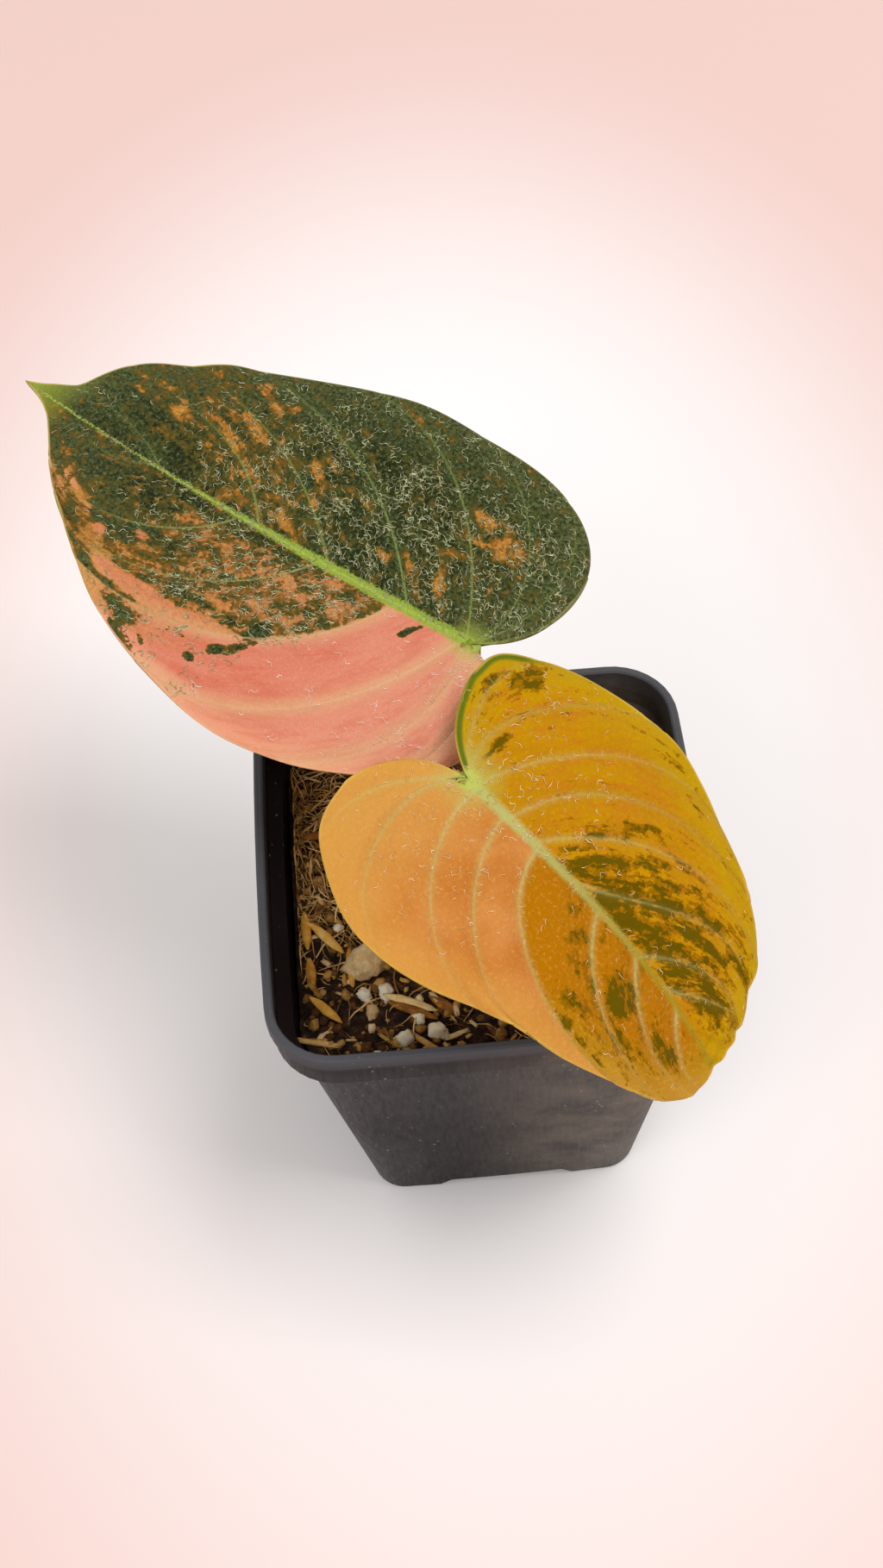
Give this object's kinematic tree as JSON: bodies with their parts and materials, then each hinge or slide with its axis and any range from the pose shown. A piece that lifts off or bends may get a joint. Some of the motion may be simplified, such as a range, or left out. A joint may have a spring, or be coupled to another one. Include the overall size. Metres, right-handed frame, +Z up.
{
  "type": "potted houseplant",
  "caption": "Young climbing aroid with broad heart-shaped, quilted leaves on slim stalks, growing from potting mix in a black square nursery pot.",
  "frame": {"origin": "the middle of the pot's flat base, on the surface that it stands on", "axes": "+Z up, -Y towards the pot's front, from which the picture looks down on it, +X to the right seen from there"},
  "size_m": [0.1156, 0.1325, 0.1171],
  "materials": {
    "pot_plastic": "satin",
    "potting_mix": "matte",
    "stem": "matte",
    "leaf_stalk": "satin",
    "large_leaf": "satin",
    "small_leaf": "satin"
  },
  "bodies": {
    "root": {"pot": "pot_plastic", "soil": "potting_mix", "stem": "stem", "petiole_large_leaf": "leaf_stalk", "petiole_small_leaf": "leaf_stalk", "blade_large_leaf": "large_leaf", "blade_small_leaf": "small_leaf"}
  },
  "joints": []
}
